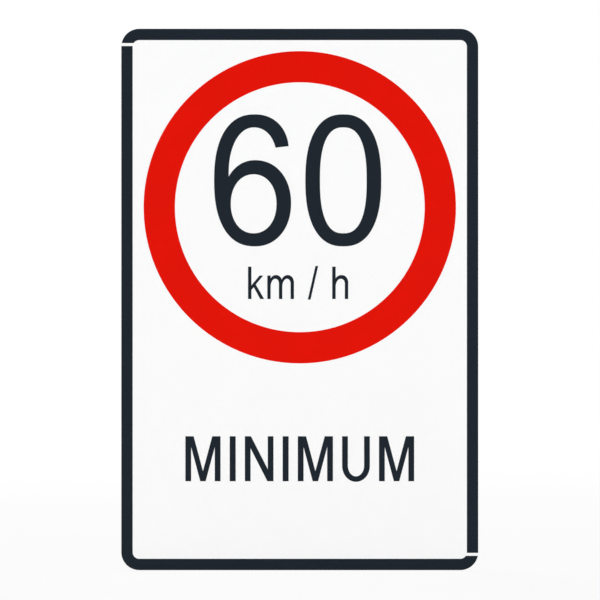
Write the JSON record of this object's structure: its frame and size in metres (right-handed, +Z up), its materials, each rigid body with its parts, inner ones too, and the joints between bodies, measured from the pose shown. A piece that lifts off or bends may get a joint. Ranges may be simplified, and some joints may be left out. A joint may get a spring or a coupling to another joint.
{
  "type": "minimum speed sign",
  "caption": "Upright road sign: white face with a black border, a red ring round the minimum speed, and lipped rails across the back for post clamps.",
  "frame": {"origin": "middle of the whole sign: on the plate's centreline and at half its height, half way between the front of the films and the crowns of the rails", "axes": "+Z up the sign, +Y from the face back towards the post, so the face looks along -Y; +X to the right of someone who reads the sign"},
  "size_m": [0.6, 0.0226, 0.91],
  "materials": {
    "plate_aluminium": "mill finish rolled sheet, with faint grain and light scratches",
    "white_sheeting": "white prismatic reflective sheeting, smooth satin gloss",
    "black_film": "blue-black cut film, low gloss",
    "red_film": "red transparent film over reflective sheeting, smooth satin gloss",
    "rail_aluminium": "mill finish extrusion, with fine die lines",
    "rivet_aluminium": "plain aluminium, dull where it was formed",
    "cap_plastic": "moulded black polyethylene, matt"
  },
  "bodies": {
    "root": {"sign_plate": "plate_aluminium", "white_sheeting": "white_sheeting", "border_strip_upper": "black_film", "border_strip_lower": "black_film", "red_ring": "red_film", "digit_six": "black_film", "digit_zero": "black_film", "upper_rail": "rail_aluminium", "lower_rail": "rail_aluminium", "upper_rail_rivets": "rivet_aluminium", "lower_rail_rivets": "rivet_aluminium", "upper_rail_cap_left": "cap_plastic", "upper_rail_cap_right": "cap_plastic", "lower_rail_cap_left": "cap_plastic", "lower_rail_cap_right": "cap_plastic"}
  },
  "joints": []
}
